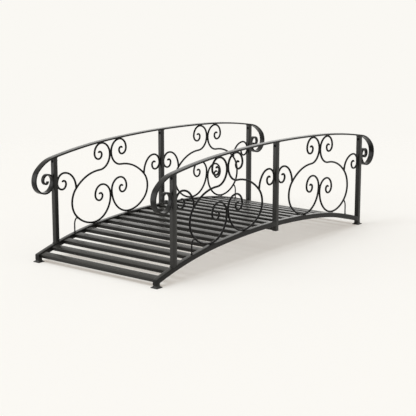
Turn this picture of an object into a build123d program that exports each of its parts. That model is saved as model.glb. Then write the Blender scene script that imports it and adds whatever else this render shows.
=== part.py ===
import os
from math import acos, asin, atan2, ceil, cos, degrees, pi, radians, sin, sqrt

from build123d import *

os.makedirs("parts", exist_ok=True)

# Overall size: handrail end to handrail end, foot to foot across, ground to handrail top
overall_length = 1841.5
overall_width = 787.4
overall_height = 552.5

# Square tube of the posts, the arched stringers and the cross beam
tube_size = 24.0

# Clearance left where round edges are welded side by side
weld_gap = 0.2

# How far a bend's short flats may stand inside its true arc
bend_sag = 0.5

# Flat-bar handrails, bowed over the posts, faster towards the rolled ends
handrail_width = 30.0
handrail_thickness = 8.0
handrail_rise = 56.0
handrail_crown_radius = 7500.0
handrail_crown_share = 0.5
end_scroll_reach = 125.0
end_scroll_lead = 5.0
end_scroll_drop = 103.0
end_scroll_lower_share = 0.54
end_volute_shares = (0.64, 0.49, 0.35, 0.23)

# Arched base: a flat crown that bends faster towards the feet
arch_top = 150.0
arch_rise = 108.0
arch_crown_radius = 4200.0
arch_crown_share = 0.5
left_overhang = 117.0

# Flared caps under the four legs
foot_width = 40.0
foot_top_width = 28.0
foot_rim_height = 4.0
foot_height = 9.0

# Rectangular-tube slats, let in a little below the stringers' tops
slat_width = 35.0
slat_height = 18.0
slat_pitch = 78.0
slat_recess = 5.0
slat_end_margin = 10.0

# Scrollwork rods in the four bays between the posts
rod_size = 10.0
rod_sides = 6
curl_room = 97.0
volute_share = 0.153
volute_shares = (1.0, 0.81, 0.49, 0.36, 0.24)
neck_share = 0.186
bulge_height_share = 0.30
foot_turn_share = 0.31
curl_shares = (0.70, 0.515, 0.36, 0.27, 0.18)
strut_size = 7.0
strut_angle = 38.0

# Places that follow from the sizes above
rail_offset = (overall_width - foot_width) / 2
half_tube = tube_size / 2
post_offset = overall_length / 2 - end_scroll_reach - half_tube
foot_places = {-1: -post_offset - left_overhang, 1: post_offset}
post_is_leg = {-1: False, 1: True}
base_middle = (foot_places[-1] + foot_places[1]) / 2
half_base = (foot_places[1] - foot_places[-1]) / 2
deck_width = 2 * rail_offset - tube_size
front_plane = Plane.XZ.offset(rail_offset)


class ThreeCentredArch:
    """Curve of a flat crown between two tighter haunches, kept by its top face."""

    def __init__(self, middle, half_span, top, rise, crown_radius, crown_share):
        self.middle = middle
        self.crown_radius = crown_radius
        self.crown_angle = asin(crown_share * half_span / crown_radius)
        self.crown_level = top - crown_radius
        run = (1 - crown_share) * half_span
        drop = rise - crown_radius * (1 - cos(self.crown_angle))
        self.end_angle = 2 * atan2(drop, run) - self.crown_angle
        self.haunch_radius = run / (sin(self.end_angle) - sin(self.crown_angle))
        self.haunch_run = (crown_radius - self.haunch_radius) * sin(self.crown_angle)
        self.haunch_level = self.crown_level + (crown_radius - self.haunch_radius) * cos(self.crown_angle)

    def height(self, x, depth=0):
        """Height at x, measured square to the curve down from its top face."""
        run = abs(x - self.middle)
        if run <= (self.crown_radius - depth) * sin(self.crown_angle):
            return self.crown_level + sqrt((self.crown_radius - depth) ** 2 - run**2)
        return self.haunch_level + sqrt((self.haunch_radius - depth) ** 2 - (run - self.haunch_run) ** 2)

    def slope(self, x, depth=0):
        """Angle below level at x, away from the middle."""
        run = abs(x - self.middle)
        if run <= (self.crown_radius - depth) * sin(self.crown_angle):
            return asin(run / (self.crown_radius - depth))
        return asin((run - self.haunch_run) / (self.haunch_radius - depth))

    def draw(self, x_start, x_end, depth=0):
        """Arcs along the curve from x_start to x_end, changing where the crown meets a haunch."""
        crown_run = (self.crown_radius - depth) * sin(self.crown_angle)
        changes = [self.middle - crown_run, self.middle + crown_run]
        inside = [x for x in changes if min(x_start, x_end) < x < max(x_start, x_end)]
        stops = sorted([x_start, *inside, x_end], reverse=x_end < x_start)
        for begin, end in zip(stops, stops[1:]):
            ThreePointArc(*((x, self.height(x, depth)) for x in (begin, (begin + end) / 2, end)))


# The handrails' bow over the posts, and the stringers' arch from foot to foot
bow_half = post_offset + half_tube
bow = ThreeCentredArch(
    0, bow_half, overall_height, handrail_rise, handrail_crown_radius, handrail_crown_share
)
bow_angle = bow.slope(bow_half, handrail_thickness)
bow_top_half = bow_half + handrail_thickness * sin(bow_angle)
arch = ThreeCentredArch(base_middle, half_base, arch_top, arch_rise, arch_crown_radius, arch_crown_share)


def oval_radii(run, drop, start=0.0):
    """Two radii that turn from a start angle to upright over run and drop, changing at 45 degrees."""
    half_turn = radians(45)
    first_run = sin(half_turn) - sin(start)
    first_drop = cos(start) - cos(half_turn)
    second_run = 1 - sin(half_turn)
    second_drop = cos(half_turn)
    scale = first_run * second_drop - second_run * first_drop
    first = (run * second_drop - drop * second_run) / scale
    second = (drop * first_run - run * first_drop) / scale
    return first, second


def bend_points(start, heading, steps):
    """Points along bends of (radius, turn in degrees), as flats that keep within bend_sag."""
    points = [start]
    x, z = start
    for radius, turn in steps:
        flats = ceil(abs(turn) / degrees(2 * acos(1 - bend_sag / radius)))
        flat_turn = radians(turn / flats)
        flat_length = 2 * radius * sin(abs(flat_turn) / 2)
        for _ in range(flats):
            heading += flat_turn / 2
            x += flat_length * cos(heading)
            z += flat_length * sin(heading)
            heading += flat_turn / 2
            points.append((x, z))
    return points


def bent_bar(points, section):
    """Bar in the front rail's plane along flats between points; section draws its cross-section."""
    with BuildPart() as bar:
        with BuildLine(front_plane) as path:
            Polyline(*points)
        first_flat = path.edges()[0]
        with BuildSketch(Plane(origin=first_flat @ 0, x_dir=(0, 1, 0), z_dir=first_flat % 0)):
            section()
        sweep(transition=Transition.RIGHT)
    return bar


def rod_section():
    RegularPolygon(rod_size / 2, rod_sides, major_radius=False)


def handrail_section():
    Rectangle(handrail_width, handrail_thickness)


def write(piece, name):
    piece.part.label = name
    export_step(piece.part, f"parts/{name}.step")


def write_pair(front, name):
    """Write a front piece and its mirror image on the back of the bridge."""
    with BuildPart() as back:
        mirror(front.part, about=Plane.XZ)
    write(front, f"front_{name}")
    write(back, f"back_{name}")


def half_stringer(side):
    """Arched tube from the middle post to the leg at one end, or to a post that is the leg."""
    joint = side * half_tube
    leg = foot_places[side] - side * half_tube
    end = leg if post_is_leg[side] else leg + side * tube_size
    with BuildPart() as stringer:
        with BuildSketch(front_plane):
            with BuildLine():
                arch.draw(end, joint)
                Line((joint, arch.height(joint)), (joint, arch.height(joint, tube_size)))
                arch.draw(joint, leg, tube_size)
                if post_is_leg[side]:
                    Line((leg, arch.height(leg, tube_size)), (end, arch.height(end)))
                else:
                    Polyline(
                        (leg, arch.height(leg, tube_size)),
                        (leg, foot_height),
                        (end, foot_height),
                        (end, arch.height(end)),
                    )
            make_face()
        extrude(amount=half_tube, both=True)
    return stringer


def foot_cap(side):
    """Flared cap under a leg."""
    flare_height = foot_height - foot_rim_height
    flare_angle = degrees(atan2((foot_width - foot_top_width) / 2, flare_height))
    with BuildPart() as cap:
        with BuildSketch():
            with Locations((foot_places[side], -rail_offset)):
                Rectangle(foot_width, foot_width)
        extrude(amount=foot_rim_height)
        extrude(cap.faces().sort_by(Axis.Z)[-1], amount=flare_height, taper=flare_angle)
    return cap


def end_post(side):
    """Post that carries one end of the handrail and stands on the stringer, or on its own foot."""
    inner = side * (post_offset - half_tube)
    outer = side * (post_offset + half_tube)

    def base(x):
        return foot_height if post_is_leg[side] else arch.height(x)

    with BuildPart() as post:
        with BuildSketch(front_plane):
            with BuildLine():
                if post_is_leg[side]:
                    Line((inner, base(inner)), (outer, base(outer)))
                else:
                    arch.draw(inner, outer)
                Line((outer, base(outer)), (outer, bow.height(outer, handrail_thickness)))
                bow.draw(outer, inner, handrail_thickness)
                Line((inner, bow.height(inner, handrail_thickness)), (inner, base(inner)))
            make_face()
        extrude(amount=half_tube, both=True)
    return post


def middle_post():
    """Post that joins the two halves of a stringer and reaches down past them to the cross beam."""
    with BuildPart() as post:
        with BuildSketch(front_plane):
            with BuildLine():
                bow.draw(-half_tube, half_tube, handrail_thickness)
                Polyline(
                    (half_tube, bow.height(half_tube, handrail_thickness)),
                    (half_tube, beam_top - tube_size),
                    (-half_tube, beam_top - tube_size),
                    (-half_tube, bow.height(half_tube, handrail_thickness)),
                )
            make_face()
        extrude(amount=half_tube, both=True)
    return post


def handrail():
    """Flat bar bowed over the three posts."""
    with BuildPart() as rail:
        with BuildSketch(front_plane):
            with BuildLine():
                bow.draw(-bow_top_half, bow_top_half)
                Line(
                    (bow_top_half, bow.height(bow_top_half)),
                    (bow_half, bow.height(bow_half, handrail_thickness)),
                )
                bow.draw(bow_half, -bow_half, handrail_thickness)
                Line(
                    (-bow_half, bow.height(bow_half, handrail_thickness)),
                    (-bow_top_half, bow.height(bow_top_half)),
                )
            make_face()
        extrude(amount=handrail_width / 2, both=True)
    return rail


def rail_scroll(side):
    """End of the handrail, rolled down, in against the post and up into a volute."""
    half_thickness = handrail_thickness / 2
    joint = (bow_half + bow_top_half) / 2
    level = bow.height(joint, half_thickness)
    start = joint + end_scroll_lead * cos(bow_angle)
    drop = end_scroll_lead * sin(bow_angle)
    reach = overall_length / 2 - half_thickness - start
    shoulder, brow = oval_radii(reach, end_scroll_drop - drop, bow_angle)
    tuck = overall_length / 2 - bow_half - handrail_thickness - weld_gap
    lower = end_scroll_lower_share * tuck
    inner = tuck - lower
    steps = [(shoulder, degrees(bow_angle) - 45), (brow, -45), (lower, -90), (inner, -90)]
    steps += [(share * inner, -90) for share in end_volute_shares]
    steps = [(radius, side * turn) for radius, turn in steps]
    heading = -bow_angle if side > 0 else pi + bow_angle
    bends = bend_points((side * start, level - drop), heading, steps)
    return bent_bar([(side * joint, level)] + bends, handrail_section)


class ScrollBay:
    """Sizes of the scroll on one side of a bay's centre line, reaching sideways to one post."""

    def __init__(self, centre, side):
        half_rod = rod_size / 2
        seat = half_rod + weld_gap
        self.centre = centre
        self.side = side
        self.start = half_rod + weld_gap / 2
        self.face = post_offset / 2 - half_tube
        self.reach = self.face - curl_room - half_rod
        rough_top = bow.height(centre, handrail_thickness)
        rough_foot = arch.height(centre)
        self.volute = volute_share * (rough_top - rough_foot)
        foot_turn = foot_turn_share * (rough_top - rough_foot)
        top_x = self.place(self.start + self.volute)
        lean = bow.slope(top_x)
        self.top = bow.height(top_x, handrail_thickness) - seat - (self.volute + seat) * (1 / cos(lean) - 1)
        foot_x = self.place(self.start + foot_turn)
        ground = arch.height(foot_x) + seat
        height = self.top - ground
        self.bulge_level = ground + bulge_height_share * height
        self.neck = neck_share * height
        self.foot_turn = foot_turn
        lower_run = self.reach - self.start - foot_turn
        heel, sole = oval_radii(self.bulge_level - ground, lower_run)
        self.foot = ground + (max(sole, foot_turn) + seat) * (1 / cos(arch.slope(foot_x)) - 1)
        self.heel, self.sole = oval_radii(self.bulge_level - self.foot, lower_run)
        upper_run = self.reach - self.start - self.neck
        upper_drop = self.top - self.volute - self.neck - self.bulge_level
        self.crest, self.brow = oval_radii(upper_run, upper_drop)

    def place(self, run):
        return self.centre + self.side * run


def main_scroll(bay):
    """Rod from the top volute through the neck, the bulge and the foot to the inner volute."""
    turns = [share * bay.volute for share in volute_shares]
    tip_run = turns[0] + turns[1] - turns[2] - turns[3] + turns[4]
    tip_rise = turns[0] - turns[1] - turns[2] + turns[3] + turns[4]
    start = (bay.place(bay.start + tip_run), bay.top - bay.volute + tip_rise)
    steps = [(radius, 90) for radius in reversed(turns)]
    steps += [(bay.neck, 90)]
    steps += [(bay.crest, -45), (bay.brow, -45)]
    steps += [(bay.heel, -45), (bay.sole, -45)]
    steps += [(bay.foot_turn, -90)]
    steps += [(radius, -90) for radius in turns]
    steps = [(radius, bay.side * turn) for radius, turn in steps]
    heading = pi if bay.side > 0 else 0.0
    return bent_bar(bend_points(start, heading, steps), rod_section)


def side_curl(bay):
    """Rod that leaves the bulge, leans on the post and rolls up beside it."""
    turns = [share * curl_room for share in curl_shares]
    top_run = bay.face - rod_size / 2 - weld_gap - turns[1]
    bulge_centre = bay.reach - bay.brow
    spread = bay.brow + turns[0] + rod_size + weld_gap
    lean = asin(sqrt(spread**2 - (top_run - bulge_centre) ** 2) / spread)
    centre_level = bay.bulge_level + spread * sin(lean)
    start = (bay.place(top_run - turns[0] * cos(lean)), centre_level - turns[0] * sin(lean))
    heading = pi / 2 + bay.side * lean
    steps = [(turns[0], -90 - degrees(lean))]
    steps += [(radius, -90) for radius in turns[1:]]
    steps = [(radius, bay.side * turn) for radius, turn in steps]
    return bent_bar(bend_points(start, heading, steps), rod_section)


def strut(bay):
    """Short rod that props the bulge on the stringer beside the end post."""
    half_strut = strut_size / 2
    clear = bay.heel + rod_size / 2 + weld_gap
    middle = clear * cos(radians(strut_angle))

    def under_bulge(run):
        return bay.place(bay.reach - bay.heel + run), bay.bulge_level - sqrt(clear**2 - run**2)

    tops = [under_bulge(middle + offset) for offset in (-half_strut, 0, half_strut)]
    feet = [(x, arch.height(x)) for x, level in tops]
    with BuildPart() as rod:
        with BuildSketch(front_plane):
            with BuildLine():
                ThreePointArc(*tops)
                Line(tops[2], feet[2])
                ThreePointArc(*reversed(feet))
                Line(feet[0], tops[0])
            make_face()
        extrude(amount=half_strut, both=True)
    return rod


def deck_slats(places):
    """Slats across the deck, each one square to the arch where it lies."""
    with BuildPart() as slats:
        with Locations(*places):
            Box(slat_width, deck_width, slat_height, align=(Align.CENTER, Align.CENTER, Align.MAX))
    return slats


def slat_place(along):
    """Location on the arch at a length along it from the base's middle."""
    side = 1 if along >= 0 else -1
    crown_length = arch.crown_radius * arch.crown_angle
    angle = abs(along) / arch.crown_radius
    radius, run, level = arch.crown_radius, 0, arch.crown_level
    if abs(along) > crown_length:
        angle = arch.crown_angle + (abs(along) - crown_length) / arch.haunch_radius
        radius, run, level = arch.haunch_radius, arch.haunch_run, arch.haunch_level
    x = base_middle + side * (run + (radius - slat_recess) * sin(angle))
    z = level + (radius - slat_recess) * cos(angle)
    return Location((x, 0, z), (0, side * degrees(angle), 0))


def cross_beam():
    """Tube under the deck from one middle post to the other."""
    with BuildPart() as beam:
        with Locations((0, 0, beam_top)):
            Box(tube_size, deck_width, tube_size, align=(Align.CENTER, Align.CENTER, Align.MAX))
    return beam


beam_top = arch.height(half_tube, slat_recess + slat_height) - weld_gap

sides = {"left": -1, "right": 1}
for side_name, side in sides.items():
    write_pair(half_stringer(side), f"{side_name}_stringer")
    write_pair(foot_cap(side), f"{side_name}_foot")
    write_pair(end_post(side), f"{side_name}_post")
    write_pair(rail_scroll(side), f"{side_name}_rail_scroll")
write_pair(middle_post(), "middle_post")
write_pair(handrail(), "handrail")
write(cross_beam(), "middle_cross_beam")

haunch_length = arch.haunch_radius * (arch.end_angle - arch.crown_angle)
arch_length = arch.crown_radius * arch.crown_angle + haunch_length
slat_run = arch_length + half_tube - slat_width / 2 - slat_end_margin
slat_count = int(2 * slat_run / slat_pitch) + 1
slat_step = 2 * slat_run / (slat_count - 1)
slat_places = [slat_place(index * slat_step - slat_run) for index in range(slat_count)]
left_count = slat_count // 2
write(deck_slats(slat_places[:left_count]), "left_deck_slats")
write(deck_slats(slat_places[left_count:]), "right_deck_slats")

for side_name, side in sides.items():
    bay_centre = side * post_offset / 2
    outer_bay = ScrollBay(bay_centre, side)
    inner_bay = ScrollBay(bay_centre, -side)
    write_pair(main_scroll(outer_bay), f"{side_name}_outer_scroll")
    write_pair(main_scroll(inner_bay), f"{side_name}_inner_scroll")
    write_pair(side_curl(outer_bay), f"{side_name}_outer_curl")
    write_pair(side_curl(inner_bay), f"{side_name}_inner_curl")
    write_pair(strut(outer_bay), f"{side_name}_strut")
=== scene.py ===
import random
from math import asin, atan2, ceil, cos, degrees, pi, radians, sin, sqrt, tan

import bmesh
import bpy
from mathutils import Matrix, Vector


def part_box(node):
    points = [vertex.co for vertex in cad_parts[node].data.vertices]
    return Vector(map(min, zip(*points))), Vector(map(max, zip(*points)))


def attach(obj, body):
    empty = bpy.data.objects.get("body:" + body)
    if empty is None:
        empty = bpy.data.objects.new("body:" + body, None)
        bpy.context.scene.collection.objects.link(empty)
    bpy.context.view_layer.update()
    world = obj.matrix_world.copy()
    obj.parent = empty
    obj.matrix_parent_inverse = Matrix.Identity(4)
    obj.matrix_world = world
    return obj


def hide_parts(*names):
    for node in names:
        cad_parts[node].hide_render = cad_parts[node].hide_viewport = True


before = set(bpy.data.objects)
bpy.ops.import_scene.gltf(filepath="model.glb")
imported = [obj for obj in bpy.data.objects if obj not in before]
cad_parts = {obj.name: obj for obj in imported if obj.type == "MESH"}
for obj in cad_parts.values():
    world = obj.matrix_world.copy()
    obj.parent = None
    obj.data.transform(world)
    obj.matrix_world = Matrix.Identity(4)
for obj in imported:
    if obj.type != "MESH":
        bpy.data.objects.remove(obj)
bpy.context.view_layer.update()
# the bridge is drawn in millimetres and each finished piece is scaled once; the stage is in metres
mm = 0.001
random.seed(11)
print("frame loaded:", len(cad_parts), "nodes")


# colours, nodes and materials

def toLinear(code):
    channels = [int(code[i:i + 2], 16) / 255 for i in (1, 3, 5)]
    return [c / 12.92 if c < 0.04045 else ((c + 0.055) / 1.055) ** 2.4 for c in channels] + [1.0]


def addNode(tree, kind, settings=None, links=None):
    node = tree.nodes.new(kind)
    for name, value in (settings or {}).items():
        if name in node.inputs:
            node.inputs[name].default_value = value
        else:
            setattr(node, name, value)
    for name, source in (links or {}).items():
        tree.links.new(source, node.inputs[name])
    return node


def startMaterial(name):
    material = bpy.data.materials.new(name)
    material.use_nodes = True
    tree = material.node_tree
    coords = addNode(tree, "ShaderNodeTexCoord").outputs["Object"]
    return material, tree, tree.nodes["Principled BSDF"], coords


# Polyester powder coat baked on drawn mild steel: a satin black film with a fine orange peel, thicker in
# clouds, thin on the edges with a painted highlight along them, and dusted on what faces up, the dust also
# painting light onto the tops; the drawing marks of the steel show through as faint streaks along each
# length. The bent rods get a darker copy of the film, which is painted shade.
# Real peel is 1 to 2 mm wide and is drawn at 2.4 mm, and real marks are under 1 mm and are drawn at 2 mm on
# the tubes and 4 mm on the rods, so that they show.
tubeCoat = {
    "film": "#0c0c0b", "thickFilm": "#151514", "mark": "#2c2b28", "dustAndTopLight": "#5e5b54", "thinEdgeAndHighlight": "#4a4944",
    "peelMm": 2.4, "cloudMm": 60.0, "speckMm": 6.0, "markMm": 2.0, "relief": 0.10,
    "roughness": (0.25, 0.35), "specular": 0.20, "markCover": 0.28, "dustAndTopLightCover": 0.24, "edgeCover": 0.40,
}
# a darker copy of the tube coat: the deeper black on the rods is painted shade
rodCoat = {
    "film": "#090909", "thickFilm": "#111110", "mark": "#1c1c1a", "dustAndTopLight": "#4a4843", "thinEdgeAndHighlight": "#34332f",
    "peelMm": 2.4, "cloudMm": 45.0, "speckMm": 5.0, "markMm": 4.0, "relief": 0.07,
    "roughness": (0.18, 0.30), "specular": 0.13, "markCover": 0.40, "dustAndTopLightCover": 0.12, "edgeCover": 0.22,
}
uprightCoat = {**tubeCoat, "specular": 0.33}  # the film on the posts flows out smoother


def makePowderCoat(name, look, stretch):
    material, tree, shader, coords = startMaterial(name)
    along = addNode(tree, "ShaderNodeMapping", {"Scale": stretch}, {"Vector": coords}).outputs["Vector"]
    marks = addNode(tree, "ShaderNodeTexNoise", {"Scale": 1000 / look["markMm"], "Detail": 2.0},
                    {"Vector": along}).outputs["Fac"]
    cloud = addNode(tree, "ShaderNodeTexNoise", {"Scale": 1000 / look["cloudMm"], "Detail": 3.0},
                    {"Vector": coords}).outputs["Fac"]
    speck = addNode(tree, "ShaderNodeTexNoise", {"Scale": 1000 / look["speckMm"], "Detail": 4.0},
                    {"Vector": coords}).outputs["Fac"]
    peel = addNode(tree, "ShaderNodeTexNoise", {"Scale": 1000 / look["peelMm"], "Detail": 1.5},
                   {"Vector": coords}).outputs["Fac"]
    film = addNode(tree, "ShaderNodeMixRGB", {"Color1": toLinear(look["film"]),
                   "Color2": toLinear(look["thickFilm"])}, {"Fac": cloud}).outputs["Color"]
    drawn = addNode(tree, "ShaderNodeMapRange",
                    {"From Min": 0.48, "From Max": 0.72, "To Max": look["markCover"]},
                    {"Value": marks}).outputs["Result"]
    marked = addNode(tree, "ShaderNodeMixRGB", {"Color2": toLinear(look["mark"])},
                     {"Fac": drawn, "Color1": film}).outputs["Color"]
    surface = addNode(tree, "ShaderNodeNewGeometry").outputs
    upward = addNode(tree, "ShaderNodeSeparateXYZ", links={"Vector": surface["Normal"]}).outputs["Z"]
    # what faces up gets a lighter colour: dust, and painted light on the tops as if lit from above
    upFacingShare = addNode(tree, "ShaderNodeMapRange", {"From Min": 0.55, "To Max": look["dustAndTopLightCover"]},
                      {"Value": upward}).outputs["Result"]
    dustAndLightMask = addNode(tree, "ShaderNodeMath", {"operation": "MULTIPLY"}).inputs
    tree.links.new(upFacingShare, dustAndLightMask[0])
    tree.links.new(speck, dustAndLightMask[1])
    dustedAndLit = addNode(tree, "ShaderNodeMixRGB", {"Color2": toLinear(look["dustAndTopLight"])},
                     {"Fac": dustAndLightMask[0].node.outputs[0], "Color1": marked}).outputs["Color"]
    # edges get a lighter colour, partly where the coat runs thin and partly as a painted highlight along them
    ridge = addNode(tree, "ShaderNodeMapRange",
                    {"From Min": 0.53, "From Max": 0.62, "To Max": look["edgeCover"]},
                    {"Value": surface["Pointiness"]}).outputs["Result"]
    thinAndLitEdge = addNode(tree, "ShaderNodeMath", {"operation": "MULTIPLY"}).inputs
    tree.links.new(ridge, thinAndLitEdge[0])
    tree.links.new(speck, thinAndLitEdge[1])
    colour = addNode(tree, "ShaderNodeMixRGB", {"Color2": toLinear(look["thinEdgeAndHighlight"])},
                     {"Fac": thinAndLitEdge[0].node.outputs[0], "Color1": dustedAndLit}).outputs["Color"]
    dull = addNode(tree, "ShaderNodeMapRange", {"From Min": 0.3, "From Max": 0.7,
                   "To Min": look["roughness"][0], "To Max": look["roughness"][1]}, {"Value": marks})
    bump = addNode(tree, "ShaderNodeBump", {"Strength": 0.5, "Distance": look["relief"] * mm},
                   {"Height": peel})
    tree.links.new(colour, shader.inputs["Base Color"])
    tree.links.new(dull.outputs["Result"], shader.inputs["Roughness"])
    tree.links.new(bump.outputs["Normal"], shader.inputs["Normal"])
    shader.inputs["Specular IOR Level"].default_value = look["specular"]
    return material


# Black polyethylene, injection moulded with a spark-eroded mould: even, dull, faintly grained.
# The grain is 0.3 mm and is drawn at 1.1 mm so that it shows.
footPlastic = {"base": "#161616", "scuffed": "#2c2b29", "grainMm": 1.1, "smearMm": 14.0, "relief": 0.08,
               "roughness": (0.52, 0.68)}


def makeFootPlastic():
    look = footPlastic
    material, tree, shader, coords = startMaterial("moulded_black_polyethylene")
    grain = addNode(tree, "ShaderNodeTexNoise", {"Scale": 1000 / look["grainMm"], "Detail": 2.0},
                    {"Vector": coords}).outputs["Fac"]
    smear = addNode(tree, "ShaderNodeTexNoise", {"Scale": 1000 / look["smearMm"], "Detail": 3.0},
                    {"Vector": coords}).outputs["Fac"]
    colour = addNode(tree, "ShaderNodeMixRGB", {"Color1": toLinear(look["base"]),
                     "Color2": toLinear(look["scuffed"])}, {"Fac": smear}).outputs["Color"]
    dull = addNode(tree, "ShaderNodeMapRange",
                   {"To Min": look["roughness"][0], "To Max": look["roughness"][1]},
                   {"Value": smear}).outputs["Result"]
    bump = addNode(tree, "ShaderNodeBump", {"Strength": 0.35, "Distance": look["relief"] * mm},
                   {"Height": grain})
    tree.links.new(colour, shader.inputs["Base Color"])
    tree.links.new(dull, shader.inputs["Roughness"])
    tree.links.new(bump.outputs["Normal"], shader.inputs["Normal"])
    return material


# Steel fasteners blackened in an oxide bath: dark metal, oily sheen, brighter in patches of about 3 mm where
# a key has rubbed.
boltSteel = {"oxide": "#17171a", "rubbed": "#4a4845", "rubMm": 3.0, "relief": 0.05, "roughness": 0.32}


def makeBoltSteel():
    look = boltSteel
    material, tree, shader, coords = startMaterial("black_oxide_steel")
    rub = addNode(tree, "ShaderNodeTexNoise", {"Scale": 1000 / look["rubMm"], "Detail": 3.0},
                  {"Vector": coords}).outputs["Fac"]
    patch = addNode(tree, "ShaderNodeMapRange", {"From Min": 0.55, "From Max": 0.8},
                    {"Value": rub}).outputs["Result"]
    colour = addNode(tree, "ShaderNodeMixRGB", {"Color1": toLinear(look["oxide"]),
                     "Color2": toLinear(look["rubbed"])}, {"Fac": patch}).outputs["Color"]
    bump = addNode(tree, "ShaderNodeBump", {"Strength": 0.2, "Distance": look["relief"] * mm},
                   {"Height": rub})
    tree.links.new(colour, shader.inputs["Base Color"])
    tree.links.new(bump.outputs["Normal"], shader.inputs["Normal"])
    shader.inputs["Metallic"].default_value = 1.0
    shader.inputs["Roughness"].default_value = look["roughness"]
    return material


railCoat = makePowderCoat("satin_powder_coat_on_bent_lengths", tubeCoat, (0.01, 1.0, 1.0))
postCoat = makePowderCoat("satin_powder_coat_on_posts", uprightCoat, (1.0, 1.0, 0.01))
slatCoat = makePowderCoat("satin_powder_coat_on_slats", tubeCoat, (1.0, 0.01, 1.0))
scrollCoat = makePowderCoat("satin_powder_coat_on_rods", rodCoat, (1.0, 1.0, 1.0))
plastic = makeFootPlastic()
blackSteel = makeBoltSteel()
print("materials made")


# sections, bends and curves that several pieces share

def finishPiece(bm, name, material, nodes=(), sharpAngle=35.0):
    bmesh.ops.recalc_face_normals(bm, faces=bm.faces)
    bmesh.ops.scale(bm, vec=(mm, mm, mm), verts=bm.verts)
    for face in bm.faces:
        face.smooth = True
    for edge in bm.edges:
        edge.smooth = edge.calc_face_angle(0.0) < radians(sharpAngle)
    mesh = bpy.data.meshes.new(name)
    bm.to_mesh(mesh)
    bm.free()
    mesh.materials.append(material)
    piece = bpy.data.objects.new(name, mesh)
    bpy.context.scene.collection.objects.link(piece)
    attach(piece, "root")
    if nodes:
        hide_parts(*nodes)
    return piece


def barSection(bm, width, depth, corner, place):
    # a flat face, width by depth, with rounded corners; place turns its Z along the bar
    verts = bmesh.ops.create_grid(bm, x_segments=1, y_segments=1, size=0.5)["verts"]
    bmesh.ops.scale(bm, vec=(width, depth, 1.0), verts=verts)
    rounded = bmesh.ops.bevel(bm, geom=verts, offset=corner, segments=4, profile=0.5,
                              affect="VERTICES", material=-1)["verts"]
    face = rounded[0].link_faces[0]
    bmesh.ops.transform(bm, matrix=place, verts=face.verts)
    return face


def rodSection(bm, size, sides, place):
    verts = bmesh.ops.create_circle(bm, cap_ends=True, segments=sides, radius=size / 2)["verts"]
    bmesh.ops.transform(bm, matrix=place, verts=verts)
    return verts[0].link_faces[0]


def pushOut(bm, face, vec):
    # extrudes a face along vec and gives back the new one
    grown = bmesh.ops.extrude_face_region(bm, geom=[face])["geom"]
    pushed = [item for item in grown if isinstance(item, bmesh.types.BMFace)][0]
    bmesh.ops.translate(bm, vec=vec, verts=pushed.verts)
    return pushed


def edgesIn(items):
    return [item for item in items if isinstance(item, bmesh.types.BMEdge)]


def facing(point, angle):
    # section place in an upright rail: width across the bridge, Z along the heading
    along = Vector((cos(angle), 0.0, sin(angle)))
    across = Vector((0.0, 1.0, 0.0))
    return Matrix.Translation(point) @ Matrix((across, along.cross(across), along)).transposed().to_4x4()


def bendAlong(bm, face, start, angle, steps, flat, widths=None):
    # spins the section round each bend's centre in turn and caps the end; widths, where given,
    # hold the share of its width that the bar keeps at the end of each bend
    point, edges, kept = Vector(start), face.edges[:], 1.0
    for i, (radius, turn) in enumerate(steps):
        side = 1 if turn > 0 else -1
        outward = -side * Vector((-sin(angle), 0.0, cos(angle)))
        centre = point - outward * radius
        before = set(bm.verts)
        spun = bmesh.ops.spin(bm, geom=edges, cent=centre, axis=(0.0, -1.0, 0.0), angle=radians(turn),
                              steps=max(2, ceil(abs(turn) / flat)), use_duplicate=False)
        if widths:
            for vert in set(bm.verts) - before:
                away = vert.co - centre
                away.y = 0.0
                done = outward.angle(away) / abs(radians(turn))
                share = (kept + (widths[i] - kept) * done) / kept
                vert.co.y = point.y + (vert.co.y - point.y) * share
            kept = widths[i]
        edges = edgesIn(spun["geom_last"])
        angle += radians(turn)
        point = centre + side * radius * Vector((sin(angle), 0.0, -cos(angle)))
    return bmesh.ops.contextual_create(bm, geom=edges)["faces"][0]


def walkAlong(start, angle, steps):
    # where each bend ends, without making anything
    point, stops = Vector(start), []
    for radius, turn in steps:
        side = 1 if turn > 0 else -1
        centre = point + side * radius * Vector((-sin(angle), 0.0, cos(angle)))
        angle += radians(turn)
        point = centre + side * radius * Vector((sin(angle), 0.0, -cos(angle)))
        stops.append(point.copy())
    return stops


def easeEnds(bm, faces, offset):
    edges = [e for f in faces for e in f.edges]
    bmesh.ops.bevel(bm, geom=edges, offset=offset, segments=3, profile=0.5, affect="EDGES", material=-1)


def threeCentred(middle, halfSpan, top, rise, crownRadius, crownShare):
    crownAngle = asin(crownShare * halfSpan / crownRadius)
    run = (1 - crownShare) * halfSpan
    drop = rise - crownRadius * (1 - cos(crownAngle))
    endAngle = 2 * atan2(drop, run) - crownAngle
    haunchRadius = run / (sin(endAngle) - sin(crownAngle))
    return {
        "middle": middle, "crownRadius": crownRadius, "crownAngle": crownAngle,
        "crownLevel": top - crownRadius, "haunchRadius": haunchRadius, "endAngle": endAngle,
        "haunchRun": (crownRadius - haunchRadius) * sin(crownAngle),
        "haunchLevel": top - crownRadius + (crownRadius - haunchRadius) * cos(crownAngle),
    }


def onCurve(curve, x, depth=0.0):
    # height and downward slope at x, measured square to the curve below its top face
    run = abs(x - curve["middle"])
    radius, level = curve["crownRadius"] - depth, curve["crownLevel"]
    if run > radius * sin(curve["crownAngle"]):
        radius, level = curve["haunchRadius"] - depth, curve["haunchLevel"]
        run -= curve["haunchRun"]
    return level + sqrt(radius ** 2 - run ** 2), asin(run / radius)


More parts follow.
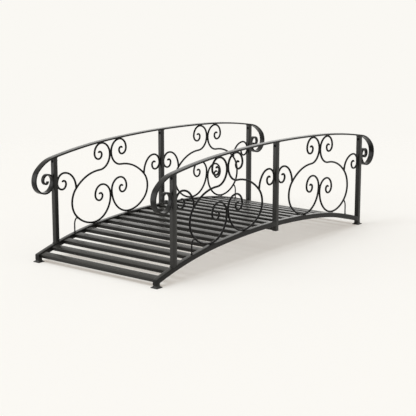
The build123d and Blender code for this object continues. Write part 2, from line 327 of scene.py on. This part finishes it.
def ovalRadii(run, drop, start=0.0):
    # two radii that turn from a start angle to upright over run and drop, changing at 45 degrees
    half = radians(45)
    firstRun, firstDrop = sin(half) - sin(start), cos(start) - cos(half)
    lastRun, lastDrop = 1 - sin(half), cos(half)
    scale = firstRun * lastDrop - lastRun * firstDrop
    return (run * lastDrop - drop * lastRun) / scale, (drop * firstRun - run * firstDrop) / scale


def asMesh(bm):
    mesh = bpy.data.meshes.new("loose")
    bm.to_mesh(mesh)
    bm.free()
    return mesh


def gather(meshes):
    # many small meshes, each quick to make on its own, joined as one
    bm = bmesh.new()
    for mesh in meshes:
        bm.from_mesh(mesh)
        bpy.data.meshes.remove(mesh)
    return bm


bridge = {"length": 1841.5, "width": 787.4, "height": 552.5, "tube": 24.0, "tubeCorner": 2.6, "gap": 0.2}
foot = {"width": 40.0, "height": 9.0, "leftOverhang": 117.0, "legSunk": 3.0}  # a leg stands 3 mm in its cap
rail = {
    "width": 30.0, "thickness": 8.0, "corner": 1.2, "tipEase": 0.9,
    "rise": 56.0, "crownRadius": 7500.0, "crownShare": 0.5,
    "reach": 125.0, "drop": 103.0, "lowerShare": 0.54, "voluteShares": (0.64, 0.49, 0.35, 0.23),
    "widthShares": (1.0, 1.0, 1.0, 0.80, 0.64, 0.53, 0.46, 0.40),  # the last bends are hammered narrower
    "bowFlat": 0.35, "rollFlat": 4.0,  # degrees in each flat of a bend
}
deck = {"top": 150.0, "rise": 108.0, "crownRadius": 4200.0, "crownShare": 0.5}

halfTube = bridge["tube"] / 2
railOffset = (bridge["width"] - foot["width"]) / 2
postOffset = bridge["length"] / 2 - rail["reach"] - halfTube
footPlaces = {"left": -postOffset - foot["leftOverhang"], "right": postOffset}
baseMiddle = (footPlaces["left"] + footPlaces["right"]) / 2
bowHalf = postOffset + halfTube
bow = threeCentred(0.0, bowHalf, bridge["height"], rail["rise"], rail["crownRadius"], rail["crownShare"])
arch = threeCentred(baseMiddle, footPlaces["right"] - baseMiddle, deck["top"], deck["rise"],
                    deck["crownRadius"], deck["crownShare"])
sides = {"left": -1, "right": 1}
rails = {"front": -railOffset, "back": railOffset}


# handrails: one flat bar from volute to volute, bent round each arc and mirrored about the middle

def makeHandrail(railName, y):
    half = rail["thickness"] / 2
    bowAngle = onCurve(bow, bowHalf, half)[1]
    crownTurn, haunchTurn = degrees(bow["crownAngle"]), degrees(bowAngle - bow["crownAngle"])
    reach = bridge["length"] / 2 - half - bowHalf
    shoulder, brow = ovalRadii(reach, rail["drop"], bowAngle)
    tuck = bridge["length"] / 2 - bowHalf - rail["thickness"] - bridge["gap"]
    lower = rail["lowerShare"] * tuck
    inner = tuck - lower
    bowSteps = [(bow["crownRadius"] - half, -crownTurn), (bow["haunchRadius"] - half, -haunchTurn)]
    endSteps = [(shoulder, degrees(bowAngle) - 45), (brow, -45), (lower, -90), (inner, -90)]
    endSteps += [(share * inner, -90) for share in rail["voluteShares"]]
    start = (0.0, y, bridge["height"] - half)
    bm = bmesh.new()
    section = barSection(bm, rail["width"], rail["thickness"], rail["corner"], facing(start, 0.0))
    joint = bendAlong(bm, section, start, 0.0, bowSteps, rail["bowFlat"])
    stops = walkAlong(start, 0.0, bowSteps)
    tip = bendAlong(bm, joint, stops[-1], -bowAngle, endSteps, rail["rollFlat"], rail["widthShares"])
    bmesh.ops.delete(bm, geom=[section, joint], context="FACES_ONLY")
    easeEnds(bm, [tip], rail["tipEase"])
    bmesh.ops.mirror(bm, geom=bm.verts[:] + bm.edges[:] + bm.faces[:], axis="X", merge_dist=0.01)
    nodes = [f"{railName}_handrail", f"{railName}_left_rail_scroll", f"{railName}_right_rail_scroll"]
    finishPiece(bm, f"{railName}_handrail_bar", railCoat, nodes)
    return walkAlong(stops[-1], -bowAngle, endSteps)[3]  # where the roll rests on the post


restSpots = {name: makeHandrail(name, y) for name, y in rails.items()}
print("handrails bent")


# stringers: square tube bent along the arch in two halves; the left half stands on a short leg stub
# and the right half butts against its post, which is a leg as well

stringer = {"flat": 0.7, "past": 3.0, "sunk": 0.35, "endEase": 0.7}  # flat and past are in degrees


def uprightTube(bm, x, y, low, high, size):
    base = barSection(bm, size, size, bridge["tubeCorner"], Matrix.Translation((x, y, low)))
    pushOut(bm, base, (0.0, 0.0, high - low))


def makeStringer(railName, y, sideName):
    side, centre = sides[sideName], footPlaces[sideName]
    onStub = sideName == "left"
    end = centre - halfTube - (0.0 if onStub else bridge["gap"])
    level, slope = onCurve(arch, side * halfTube, halfTube)
    tilt = slope if side * halfTube > baseMiddle else -slope  # downward towards +X
    radius = arch["crownRadius"] - halfTube
    start = (side * halfTube, y, level)
    heading = -tilt if side > 0 else pi - tilt
    # bent a little past the end, which is then cut upright
    endTurn = degrees(onCurve(arch, end, halfTube)[1] - arch["crownAngle"]) + stringer["past"]
    steps = [(radius, -side * (degrees(arch["crownAngle"]) - side * degrees(tilt))),
             (arch["haunchRadius"] - halfTube, -side * endTurn)]
    bm = bmesh.new()
    place = facing(start, heading)
    section = barSection(bm, bridge["tube"], bridge["tube"], bridge["tubeCorner"], place)
    bendAlong(bm, section, start, heading, steps, stringer["flat"])
    cut = bmesh.ops.bisect_plane(bm, geom=bm.verts[:] + bm.edges[:] + bm.faces[:], dist=0.001,
                                 plane_co=(end, y, 0.0), plane_no=(side, 0.0, 0.0), clear_outer=True)
    cap = bmesh.ops.contextual_create(bm, geom=edgesIn(cut["geom_cut"]))["faces"]
    easeEnds(bm, cap, stringer["endEase"])
    if onStub:
        # the stub stands just inside the tube's faces and dies into it
        stubTop = onCurve(arch, centre, bridge["tube"])[0] + halfTube
        size = bridge["tube"] - 2 * stringer["sunk"]
        uprightTube(bm, centre, y, foot["height"] - foot["legSunk"], stubTop, size)
    finishPiece(bm, f"{railName}_{sideName}_stringer_tube", railCoat, [f"{railName}_{sideName}_stringer"])


for railName, y in rails.items():
    for sideName in sides:
        makeStringer(railName, y, sideName)
print("stringers bent")


# posts: square tube mitred to the bow above; the left pair is mitred to the arch below too, the middle pair
# passes the deck, and the right pair runs down to the feet

post = {"below": 0.05, "above": 0.02}  # the mitres stop this short of the handrail and the stringer
slat = {"width": 35.0, "height": 18.0, "corner": 2.4, "recess": 5.0, "pitch": 78.0, "endMargin": 10.0}
beamTop = onCurve(arch, halfTube, slat["recess"] + slat["height"])[0] - bridge["gap"]


def mitre(bm, point, slope, side, keepBelow):
    # cuts along a surface that falls by slope away from the middle and closes the cut
    normal = Vector((side * sin(slope), 0.0, cos(slope)))
    cut = bmesh.ops.bisect_plane(bm, geom=bm.verts[:] + bm.edges[:] + bm.faces[:], dist=0.001, plane_co=point,
                                 plane_no=normal, clear_outer=keepBelow, clear_inner=not keepBelow)
    bmesh.ops.contextual_create(bm, geom=edgesIn(cut["geom_cut"]))


def makePost(railName, y, postName, x):
    side = -1 if x < 0 else 1
    upper, upperSlope = onCurve(bow, x, rail["thickness"])
    bm = bmesh.new()
    lower, lowerSlope = onCurve(arch, x)
    lowEnds = {"left": lower - halfTube, "middle": beamTop - bridge["tube"],
               "right": foot["height"] - foot["legSunk"]}
    uprightTube(bm, x, y, lowEnds[postName], upper + halfTube, bridge["tube"])
    mitre(bm, (x, y, upper - post["below"]), upperSlope, side, True)
    if postName == "left":
        mitre(bm, (x, y, lower + post["above"]), lowerSlope, -1, False)
    finishPiece(bm, f"{railName}_{postName}_post_tube", postCoat, [f"{railName}_{postName}_post"])


postPlaces = {"left": -postOffset, "middle": 0.0, "right": postOffset}
for railName, y in rails.items():
    for postName, x in postPlaces.items():
        makePost(railName, y, postName, x)
print("posts stood")


# deck: slats of rectangular tube square to the arch, and the cross beam under the middle

deckWidth = 2 * railOffset - bridge["tube"]
crownLength = arch["crownRadius"] * arch["crownAngle"]
haunchLength = arch["haunchRadius"] * (arch["endAngle"] - arch["crownAngle"])
slatRun = crownLength + haunchLength + halfTube - slat["width"] / 2 - slat["endMargin"]
slatCount = int(2 * slatRun / slat["pitch"]) + 1


def slatPlace(along):
    # the middle of a slat's top face and how far the slat tips towards +X
    side = 1 if along >= 0 else -1
    angle, radius, run, level = abs(along) / arch["crownRadius"], arch["crownRadius"], 0.0, arch["crownLevel"]
    if abs(along) > crownLength:
        angle = arch["crownAngle"] + (abs(along) - crownLength) / arch["haunchRadius"]
        radius, run, level = arch["haunchRadius"], arch["haunchRun"], arch["haunchLevel"]
    radius -= slat["recess"]
    x = baseMiddle + side * (run + radius * sin(angle))
    return Vector((x, 0.0, level + radius * cos(angle))), side * angle


def crossTube(bm, width, height, corner, topMiddle, tip):
    # a tube across the bridge from one stringer's inner face to the other's
    down = Vector((-sin(tip), 0.0, -cos(tip)))
    start = topMiddle + down * height / 2 + Vector((0.0, -deckWidth / 2, 0.0))
    along = Vector((cos(tip), 0.0, -sin(tip)))
    place = Matrix.Translation(start) @ Matrix((along, -down, along.cross(-down))).transposed().to_4x4()
    pushOut(bm, barSection(bm, width, height, corner, place), (0.0, deckWidth, 0.0))


slatPlaces = [slatPlace(2 * slatRun * i / (slatCount - 1) - slatRun) for i in range(slatCount)]
slatHalves = {"left": slatPlaces[:slatCount // 2], "right": slatPlaces[slatCount // 2:]}
for sideName, places in slatHalves.items():
    bm = bmesh.new()
    for topMiddle, tip in places:
        crossTube(bm, slat["width"], slat["height"], slat["corner"], topMiddle, tip)
    finishPiece(bm, f"{sideName}_slat_tubes", slatCoat, [f"{sideName}_deck_slats"])

bm = bmesh.new()
crossTube(bm, bridge["tube"], bridge["tube"], bridge["tubeCorner"], Vector((0.0, 0.0, beamTop)), 0.0)
finishPiece(bm, "cross_beam_tube", slatCoat, ["middle_cross_beam"])
print("deck laid:", slatCount, "slats")


# scrollwork: round rods in the bays, each bent through tangent arcs

# lengths are in mm and angles in degrees; volute, neck, bulge and footTurn are shares of the height between
# the stringer and the handrail
scroll = {
    "rod": 10.0, "roundSides": 16, "flat": 5.0, "tip": 1.6, "hook": 7.5, "hookTurn": 80.0,
    "volute": 0.153, "voluteShares": (1.0, 0.81, 0.49, 0.36, 0.24),
    "neck": 0.186, "bulge": 0.30, "footTurn": 0.31,
    "curlRoom": 97.0, "curlShares": (0.475, 0.345, 0.258, 0.17), "curlSag": 10.0,
    "curlMeets": 46.0, "curlBite": 2.5, "curlWeld": 9.0,
    "strut": 7.0, "strutAngle": 38.0, "strutBend": 44.0, "strutTurn": 43.0, "strutSunk": 1.0,
}
halfRod = scroll["rod"] / 2


def scrollBay(centre, side):
    bay = {"centre": centre, "side": side, "start": halfRod + bridge["gap"] / 2,
           "face": postOffset / 2 - halfTube}
    seat = halfRod + bridge["gap"]
    bay["reach"] = bay["face"] - scroll["curlRoom"] - halfRod
    clear = onCurve(bow, centre, rail["thickness"])[0] - onCurve(arch, centre)[0]
    bay["volute"], bay["footTurn"] = scroll["volute"] * clear, scroll["footTurn"] * clear
    topX = centre + side * (bay["start"] + bay["volute"])
    topLevel, lean = onCurve(bow, topX, rail["thickness"])
    bay["top"] = topLevel - seat - (bay["volute"] + seat) * (1 / cos(lean) - 1)
    ground, fall = onCurve(arch, centre + side * (bay["start"] + bay["footTurn"]))
    ground += seat
    bay["bulge"] = ground + scroll["bulge"] * (bay["top"] - ground)
    bay["neck"] = scroll["neck"] * (bay["top"] - ground)
    run = bay["reach"] - bay["start"] - bay["footTurn"]
    sole = ovalRadii(bay["bulge"] - ground, run)[1]
    bay["foot"] = ground + (max(sole, bay["footTurn"]) + seat) * (1 / cos(fall) - 1)
    bay["heel"], bay["sole"] = ovalRadii(bay["bulge"] - bay["foot"], run)
    drop = bay["top"] - bay["volute"] - bay["neck"] - bay["bulge"]
    bay["crest"], bay["brow"] = ovalRadii(bay["reach"] - bay["start"] - bay["neck"], drop)
    return bay


def bendRod(name, node, start, heading, steps, side):
    steps = [(radius, side * turn) for radius, turn in steps]
    bm = bmesh.new()
    first = rodSection(bm, scroll["rod"], scroll["roundSides"], facing(start, heading))
    last = bendAlong(bm, first, start, heading, steps, scroll["flat"])
    easeEnds(bm, [first, last], scroll["tip"])
    finishPiece(bm, name, scrollCoat, [node])


def makeMainScroll(name, y, bay):
    side, hook = bay["side"], (scroll["hook"], scroll["hookTurn"])
    turns = [share * bay["volute"] for share in scroll["voluteShares"]]
    upper = [hook] + [(radius, 90) for radius in reversed(turns)]
    heading = pi / 2 + side * (pi / 2 - radians(scroll["hookTurn"]))
    unwound = walkAlong((0.0, 0.0, 0.0), heading, [(radius, side * turn) for radius, turn in upper])[-1]
    start = Vector((bay["centre"] + side * bay["start"], y, bay["top"] - bay["volute"])) - unwound
    waist = [(bay["neck"], 90)] + [(bay[bend], -45) for bend in ("crest", "brow", "heel", "sole")]
    lower = [(bay["footTurn"], -90)] + [(radius, -90) for radius in turns] + [(hook[0], -hook[1])]
    bendRod(f"{name}_rod", name, start, heading, upper + waist + lower, side)


def makeCurl(name, y, bay):
    # from the side of the bulge over an oval arch to the post, and in on itself there
    turns = [share * scroll["curlRoom"] for share in scroll["curlShares"]]
    topRun = bay["face"] - halfRod - bridge["gap"] - turns[0]
    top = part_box(name)[1][2] / mm - halfRod - scroll["curlSag"]
    meets, spread = radians(scroll["curlMeets"]), bay["brow"] + scroll["curlBite"]
    tailRun, tailLevel = bay["reach"] - bay["brow"] + spread * cos(meets), bay["bulge"] + spread * sin(meets)
    archTop, archSide = ovalRadii(topRun - tailRun, top - tailLevel)
    steps = [(archSide, -45), (archTop, -45)] + [(radius, -90) for radius in turns]
    steps += [(scroll["hook"], -scroll["hookTurn"])]
    tail = Vector((bay["centre"] + bay["side"] * tailRun, y, tailLevel))
    bendRod(f"{name}_rod", name, tail, pi / 2, steps, bay["side"])
    crotch = tail + Vector((-bay["side"] * halfRod / 2, 0.0, scroll["curlWeld"]))
    onPost = Vector((bay["centre"] + bay["side"] * (bay["face"] - bridge["gap"] / 2), y, top - turns[0]))
    return crotch, onPost


def makeStrut(name, y, bay):
    # upright from the stringer, then bent inwards until it lies against the bulge
    clear = bay["heel"] + halfRod + scroll["strut"] / 2
    run = clear * cos(radians(scroll["strutAngle"]))
    x = bay["centre"] + bay["side"] * (bay["reach"] - bay["heel"] + run)
    bend, turn = scroll["strutBend"], radians(scroll["strutTurn"])
    inward = run - bend * (1 - cos(turn))  # where the bent end meets the bulge
    high = bay["bulge"] - sqrt(clear ** 2 - inward ** 2)
    straight = high - bend * sin(turn)
    low = onCurve(arch, x)[0] - scroll["strutSunk"]
    bm = bmesh.new()
    base = rodSection(bm, scroll["strut"], scroll["roundSides"], facing((x, y, low), pi / 2))
    face = pushOut(bm, base, (0.0, 0.0, straight - low))
    bent = [(bend, bay["side"] * scroll["strutTurn"])]
    last = bendAlong(bm, face, (x, y, straight), pi / 2, bent, scroll["flat"])
    bmesh.ops.delete(bm, geom=[face], context="FACES_ONLY")
    easeEnds(bm, [last], scroll["tip"] / 2)
    finishPiece(bm, f"{name}_rod", scrollCoat, [name])
    touch = bay["centre"] + bay["side"] * (bay["reach"] - bay["heel"] + inward - scroll["strut"] / 2)
    return Vector((touch, y, high)), Vector((x, y, low + scroll["strutSunk"]))


weldSpots = []  # the middle and the direction of each short run where a rod touches its neighbour
for railName, y in rails.items():
    for sideName, side in sides.items():
        for which, outward in (("outer", side), ("inner", -side)):
            bay = scrollBay(side * postOffset / 2, outward)
            stem = f"{railName}_{sideName}_{which}"
            makeMainScroll(f"{stem}_scroll", y, bay)
            joined, onPost = makeCurl(f"{stem}_curl", y, bay)
            topX = bay["centre"] + outward * (bay["start"] + bay["volute"])
            footX = bay["centre"] + outward * (bay["start"] + bay["footTurn"])
            weldSpots += [(Vector((topX, y, bay["top"] + halfRod)), (1, 0, 0)),
                          (Vector((footX, y, bay["foot"] - halfRod)), (1, 0, 0)),
                          (joined, (0, 0, 1)), (onPost, (0, 0, 1))]
            if which == "outer":
                high, low = makeStrut(f"{railName}_{sideName}_strut", y, bay)
                weldSpots += [(high, (0, 0, 1)), (low, (1, 0, 0))]
                weldSpots += [(Vector((bay["centre"], y, bay["top"] - bay["volute"])), (0, 0, 1)),
                              (Vector((bay["centre"], y, bay["foot"] + bay["footTurn"])), (0, 0, 1))]
print("scrollwork bent")


# foot caps: thin and square, with a rounded rim, a flare up to a collar round the tube and a hollow underside

# the profile is in (height, width) pairs
footShape = {
    "profile": ((0.0, 39.4), (0.6, 40.0), (2.6, 40.0), (3.3, 39.2), (3.9, 35.6), (4.7, 31.0), (6.0, 27.6),
                (8.4, 26.4), (9.0, 25.6)),
    "corner": 4.0, "hollow": 1.8, "wall": 4.0,
}


def makeFoot(railName, y, sideName):
    x, profile = footPlaces[sideName], footShape["profile"]
    bm = bmesh.new()
    base = profile[0][1]
    faces = [barSection(bm, base, base, footShape["corner"], Matrix.Translation((x, y, 0.0)))]
    for (level, width), (height, size) in zip(profile, profile[1:]):
        faces.append(pushOut(bm, faces[-1], (0.0, 0.0, height - level)))
        bmesh.ops.scale(bm, vec=(size / width, size / width, 1.0), space=Matrix.Translation((-x, -y, 0.0)),
                        verts=faces[-1].verts)
    bmesh.ops.inset_individual(bm, faces=faces[:1], thickness=footShape["wall"], use_even_offset=True)
    pushOut(bm, faces[0], (0.0, 0.0, footShape["hollow"]))
    bmesh.ops.delete(bm, geom=faces[:-1], context="FACES_ONLY")  # the steps leave these inside the cap
    finishPiece(bm, f"{railName}_{sideName}_foot_cap", plastic, [f"{railName}_{sideName}_foot"])


for railName, y in rails.items():
    for sideName in sides:
        makeFoot(railName, y, sideName)
print("feet capped")


# weld beads, as geometry: short runs on the scrollwork, rings round the posts, runs at the slats' ends

# bead is half a bead's width, ripple is the way from drop to drop, and spread is how far off the middle a run
# lies, as a share of the rod's or the bar's width
rodWeld = {"bead": 1.7, "ripple": 2.2, "long": 9.0, "spread": 0.275}
rollWeld = {"bead": 1.7, "ripple": 2.4, "long": 10.0, "spread": 0.34, "proud": 0.6}
ringWeld = {"bead": 2.1, "ripple": 2.6, "inside": 0.2, "off": 0.4}
buttWeld = {"bead": 1.6, "ripple": 2.6, "proud": 0.3, "inside": 0.4, "short": 2.0, "below": 1.0}
slatWeld = {"bead": 1.1, "ripple": 2.4, "short": 1.0, "drop": 1.5}
uneven = (0.88, 1.12)  # the smallest and the largest drop


def layBead(start, end, run):
    # overlapping drops, a little uneven, as a hand-held gun leaves them
    bm, start, end = bmesh.new(), Vector(start), Vector(end)
    count = max(2, round((end - start).length / run["ripple"]) + 1)
    for i in range(count):
        place = Matrix.Translation(start.lerp(end, i / (count - 1)))
        size = run["bead"] * random.uniform(*uneven)
        turn = Matrix.Rotation(random.uniform(0, pi), 4, "Z")
        bmesh.ops.create_uvsphere(bm, u_segments=8, v_segments=5, radius=size, matrix=place @ turn)
    return asMesh(bm)


def ringBead(centre, slope):
    # a bead round a square tube, following a surface that falls by slope towards +X
    half = halfTube - ringWeld["inside"]
    corners = [(-half, -half), (half, -half), (half, half), (-half, half)]
    spots = [Vector((centre[0] + x, centre[1] + y, centre[2] - x * slope)) for x, y in corners]
    return [layBead(spots[i - 1], spots[i], ringWeld) for i in range(4)]


runs = []
for middle, direction in weldSpots:
    along = Vector(direction) * rodWeld["long"] / 2
    spread = scroll["rod"] * rodWeld["spread"]
    for offset in (-spread, spread):
        spot = middle + Vector((0.0, offset, 0.0))
        runs.append(layBead(spot - along, spot + along, rodWeld))
for railName, y in rails.items():
    low, high = [restSpots[railName].z + way * rollWeld["long"] / 2 for way in (-1, 1)]
    spread = rail["width"] * rollWeld["spread"]
    for side in sides.values():
        x = side * (bowHalf + rollWeld["proud"])
        for offset in (-spread, 0.0, spread):
            runs.append(layBead((x, y + offset, low), (x, y + offset, high), rollWeld))
finishPiece(gather(runs), "scrollwork_welds", scrollCoat)

runs = []
for y in rails.values():
    inner = y - (halfTube - buttWeld["inside"]) * (1 if y > 0 else -1)
    ends = [y - halfTube + buttWeld["short"], y + halfTube - buttWeld["short"]]
    for postName, x in postPlaces.items():
        upper, upperSlope = onCurve(bow, x, rail["thickness"])
        runs += ringBead((x, y, upper - ringWeld["off"]), (1 if x > 0 else -1) * tan(upperSlope))
        if postName == "left":
            lower, lowerSlope = onCurve(arch, x)
            runs += ringBead((x, y, lower + ringWeld["off"]), -tan(lowerSlope))
            continue
        # where a stringer butts against a post: down its inner face and across its top
        for side in (sides.values() if postName == "middle" else [-1]):
            edge = x + side * (halfTube + buttWeld["proud"])
            top = onCurve(arch, edge)[0]
            low = onCurve(arch, edge, bridge["tube"])[0] + buttWeld["short"]
            runs.append(layBead((edge, inner, low), (edge, inner, top - buttWeld["below"]), buttWeld))
            runs.append(layBead((edge, ends[0], top), (edge, ends[1], top), buttWeld))
finishPiece(gather(runs), "post_welds", postCoat)

runs = []
for topMiddle, tip in slatPlaces:
    along = Vector((cos(tip), 0.0, -sin(tip)))
    down = Vector((-sin(tip), 0.0, -cos(tip)))
    half = slat["width"] / 2
    across = along * (half - slatWeld["short"])
    for edge in (-deckWidth / 2, deckWidth / 2):
        corner = topMiddle + Vector((0.0, edge, 0.0))
        runs.append(layBead(corner - across, corner + across, slatWeld))
        for end in (-half, half):
            high = corner + along * end + down * slatWeld["drop"]
            low = corner + along * end + down * (slat["height"] - slatWeld["drop"])
            runs.append(layBead(high, low, slatWeld))
finishPiece(gather(runs), "deck_welds", slatCoat)
print("welds laid")


# bolts: button heads on the left faces of the posts' tops, dome nuts on the right faces, and plugs under the
# middle posts

# each outline is in (radius, height) pairs, with the height from the post's face
bolt = {
    "below": 17.0, "sides": 24,
    "washer": ((0.0, -0.5), (7.0, -0.5), (7.0, 0.84), (6.6, 1.2), (0.0, 1.2)),
    "head": ((0.0, 0.6), (5.5, 0.6), (5.5, 1.9), (4.73, 3.2), (3.41, 4.4), (2.6, 4.6), (2.3, 4.3), (2.3, 2.3),
             (0.0, 2.0)),
    "nut": ((0.0, 0.6), (5.5, 0.6), (5.5, 4.8), (4.51, 5.4), (4.29, 6.8), (3.025, 8.8), (1.1, 9.8),
            (0.0, 9.9)),
}


def lathe(outline, place):
    # spins an outline round its own Z and closes the poles
    bm = bmesh.new()
    verts = [bm.verts.new((radius, 0.0, height)) for radius, height in outline]
    edges = [bm.edges.new(pair) for pair in zip(verts, verts[1:])]
    bmesh.ops.spin(bm, geom=verts + edges, cent=(0.0, 0.0, 0.0), axis=(0.0, 0.0, 1.0), angle=2 * pi,
                   steps=bolt["sides"], use_merge=True, use_duplicate=False)
    bmesh.ops.remove_doubles(bm, verts=bm.verts, dist=0.001)
    bmesh.ops.transform(bm, matrix=place, verts=bm.verts)
    return asMesh(bm)


def towards(point, axis):
    turn = Vector((0.0, 0.0, 1.0)).rotation_difference(Vector(axis))
    return Matrix.Translation(point) @ turn.to_matrix().to_4x4()


turned = []
for y in rails.values():
    for x in postPlaces.values():
        level = onCurve(bow, x, rail["thickness"])[0] - bolt["below"]
        for side, fastener in ((-1, "head"), (1, "nut")):
            place = towards((x + side * halfTube, y, level), (side, 0.0, 0.0))
            turned += [lathe(bolt[outline], place) for outline in ("washer", fastener)]
finishPiece(gather(turned), "post_bolts", blackSteel)

plug = {"over": 0.6, "thick": 2.6, "ease": 1.0}
plugSize = bridge["tube"] + plug["over"]
bm = bmesh.new()
for y in rails.values():
    place = Matrix.Translation((0.0, y, beamTop - bridge["tube"]))
    top = barSection(bm, plugSize, plugSize, bridge["tubeCorner"], place)
    easeEnds(bm, [pushOut(bm, top, (0.0, 0.0, -plug["thick"]))], plug["ease"])
finishPiece(bm, "middle_post_plugs", plastic)
print("bolts and plugs fitted")


# stage: a pale sweep that fades into the backdrop, soft studio light, and the camera

# glow is the share of the sheet's colour that it gives off as painted light, warmer than the sheet itself
stage = {"sweep": "#faf8f3", "size": 9.0, "fadeFrom": 2.6, "fadeTo": 4.6, "ambient": 0.50,
         "fill": (1.0, 0.97, 0.94), "glow": (0.36, 0.325, 0.295)}
lamps = {"key": {"strength": 1.31, "colour": (1.0, 1.03, 1.06), "angle": 46.0, "toward": (-0.32, 0.06, 1.0)},
         "back": {"strength": 0.28, "colour": (1.0, 1.0, 1.0), "angle": 40.0, "toward": (0.72, 0.62, 0.24)},
         "left": {"strength": 1.30, "colour": (1.0, 1.0, 1.0), "angle": 50.0, "toward": (-0.78, 0.56, 0.22)}}
floorMesh = bpy.data.meshes.new("sweep")
bm = bmesh.new()
bmesh.ops.create_grid(bm, x_segments=1, y_segments=1, size=stage["size"])
bm.to_mesh(floorMesh)
bm.free()
floor = bpy.data.objects.new("sweep", floorMesh)
bpy.context.scene.collection.objects.link(floor)
floorMaterial, tree, shader, coords = startMaterial("matt_paper_sweep")
# the sheet is lit from behind too, as on a light table: its glow is painted light that keeps the shadow weak,
# and the glow is warmer than the sheet, so the shadow is painted warm
sheet = toLinear(stage["sweep"])
shader.inputs["Base Color"].default_value = [c * (1 - g) for c, g in zip(sheet, stage["glow"])] + [1.0]
shader.inputs["Emission Color"].default_value = [c * g for c, g in zip(sheet, stage["glow"])] + [1.0]
shader.inputs["Emission Strength"].default_value = 1.0
shader.inputs["Roughness"].default_value = 1.0
shader.inputs["Specular IOR Level"].default_value = 0.0
away = addNode(tree, "ShaderNodeVectorMath", {"operation": "LENGTH"}, {"Vector": coords}).outputs["Value"]
fade = addNode(tree, "ShaderNodeMapRange", {"From Min": stage["fadeFrom"], "From Max": stage["fadeTo"],
               "interpolation_type": "SMOOTHSTEP"}, {"Value": away}).outputs["Result"]
clear = addNode(tree, "ShaderNodeBsdfTransparent").outputs["BSDF"]
blend = addNode(tree, "ShaderNodeMixShader", links={"Fac": fade})
tree.links.new(shader.outputs["BSDF"], blend.inputs[1])
tree.links.new(clear, blend.inputs[2])
tree.links.new(blend.outputs["Shader"], tree.nodes["Material Output"].inputs["Surface"])
floorMesh.materials.append(floorMaterial)

world = bpy.data.worlds.new("studio")
world.use_nodes = True
bpy.context.scene.world = world
tree = world.node_tree
seen = tree.nodes["Background"]
seen.inputs["Color"].default_value = toLinear(stage["sweep"])
lit = addNode(tree, "ShaderNodeBackground", {"Color": (*stage["fill"], 1.0), "Strength": stage["ambient"]})
path = addNode(tree, "ShaderNodeLightPath").outputs
shown = addNode(tree, "ShaderNodeMath", {"operation": "MAXIMUM"}).inputs
tree.links.new(path["Is Camera Ray"], shown[0])
tree.links.new(path["Is Glossy Ray"], shown[1])
shownAll = addNode(tree, "ShaderNodeMath", {"operation": "MAXIMUM"}).inputs
tree.links.new(shown[0].node.outputs[0], shownAll[0])
tree.links.new(path["Is Transmission Ray"], shownAll[1])
choose = addNode(tree, "ShaderNodeMixShader", links={"Fac": shownAll[0].node.outputs[0]})
tree.links.new(lit.outputs["Background"], choose.inputs[1])
tree.links.new(seen.outputs["Background"], choose.inputs[2])
tree.links.new(choose.outputs["Shader"], tree.nodes["World Output"].inputs["Surface"])

for name, lamp in lamps.items():
    light = bpy.data.lights.new(name, "SUN")
    light.energy, light.color, light.angle = lamp["strength"], lamp["colour"], radians(lamp["angle"])
    holder = bpy.data.objects.new(name, light)
    holder.rotation_euler = Vector(lamp["toward"]).to_track_quat("Z", "Y").to_euler()
    bpy.context.scene.collection.objects.link(holder)

shot = {"place": (-4.5229, -3.5516, 1.3370), "yaw": 0.8976, "pitch": 0.2007, "lens": 98.16, "sensor": 36.0}
cameraData = bpy.data.cameras.new("camera")
cameraData.lens = shot["lens"]
cameraData.sensor_width = shot["sensor"]
camera = bpy.data.objects.new("camera", cameraData)
camera.location = shot["place"]
ahead = cos(shot["pitch"])
aim = Vector((sin(shot["yaw"]) * ahead, cos(shot["yaw"]) * ahead, -sin(shot["pitch"])))
camera.rotation_euler = aim.to_track_quat("-Z", "Y").to_euler()
bpy.context.scene.collection.objects.link(camera)
bpy.context.scene.camera = camera
bpy.context.scene.view_settings.view_transform = "Standard"
print("stage set")
